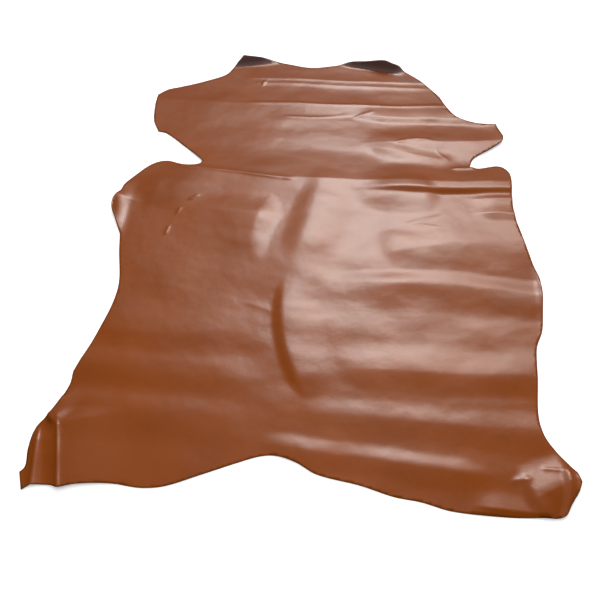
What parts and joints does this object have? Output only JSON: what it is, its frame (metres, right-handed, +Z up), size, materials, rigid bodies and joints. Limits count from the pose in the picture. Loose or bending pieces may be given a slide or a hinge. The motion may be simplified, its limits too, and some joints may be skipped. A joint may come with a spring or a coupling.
{
  "type": "leather hide",
  "caption": "Whole tanned leather skin lying grain side up, with its natural outline, soft cross folds, two curled ears and curled leg ends.",
  "frame": {"origin": "middle of the space that the hide fills, on the surface that it lies on", "axes": "+Z up out of the grain side, +Y along the spine towards the neck, +X to the right"},
  "size_m": [0.839, 1.042, 0.0258],
  "materials": {
    "tan_leather": "smooth grain leather with a pigmented tan finish and a soft gloss; brown suede flesh side and raw cut edge"
  },
  "bodies": {
    "root": {"hide": "tan_leather"}
  },
  "joints": []
}
